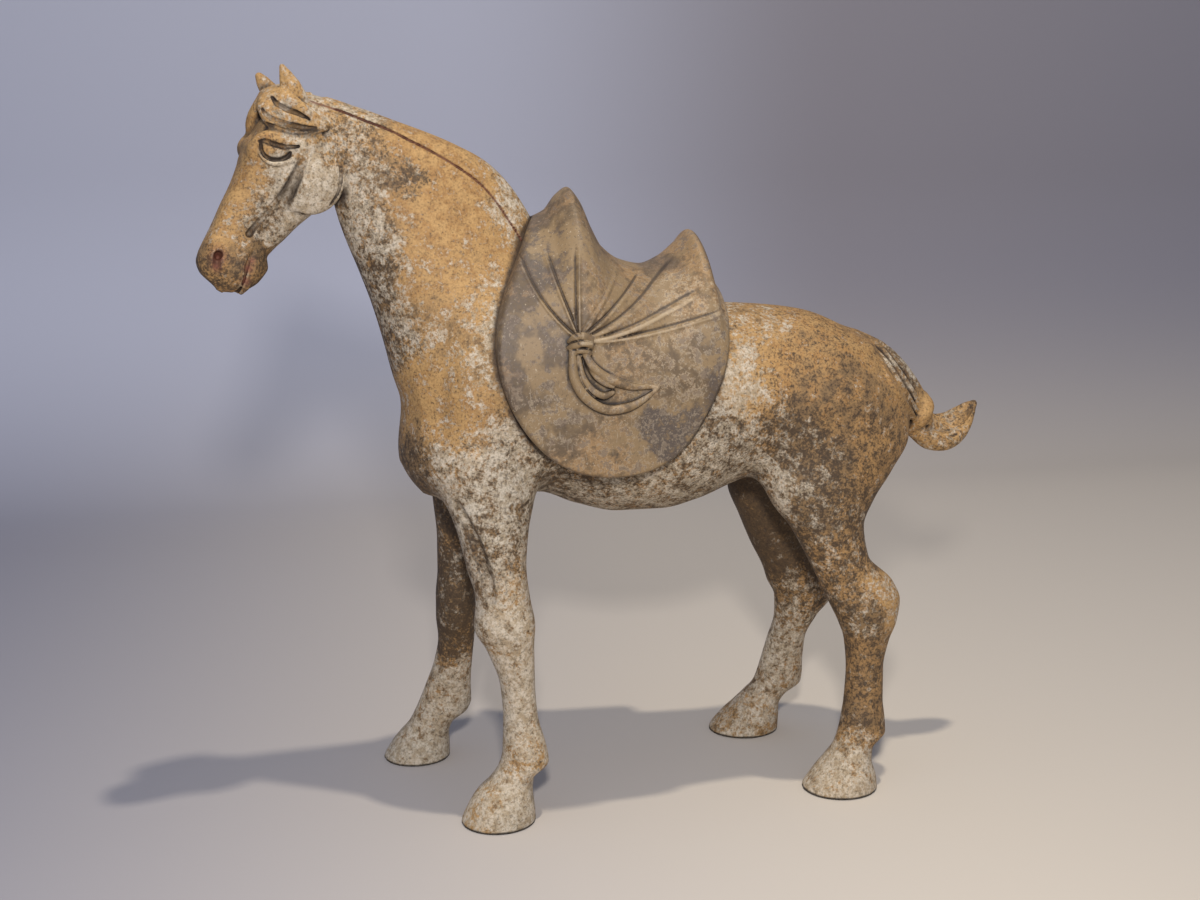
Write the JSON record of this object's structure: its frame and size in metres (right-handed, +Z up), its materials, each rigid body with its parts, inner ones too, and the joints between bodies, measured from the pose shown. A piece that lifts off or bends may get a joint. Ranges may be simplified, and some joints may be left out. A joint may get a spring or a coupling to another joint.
{
  "type": "pottery tomb horse",
  "caption": "Standing horse of painted, unglazed fired clay with its head low to one side, a knotted tail, and a saddle whose clay cover is gathered into a knot on each flap.",
  "frame": {"origin": "on the ground, under the middle of the figure's box", "axes": "+X towards the tail, the horse faces -X, +Y to the horse's right, +Z up"},
  "size_m": [0.5942, 0.1806, 0.54],
  "materials": {
    "painted_clay": "unglazed fired clay, chalky, with worn ochre pigment and white slip",
    "grey_clay": "unglazed fired clay, smooth, taupe, dusty"
  },
  "bodies": {
    "root": {"horse": "painted_clay", "saddle": "grey_clay"}
  },
  "joints": []
}
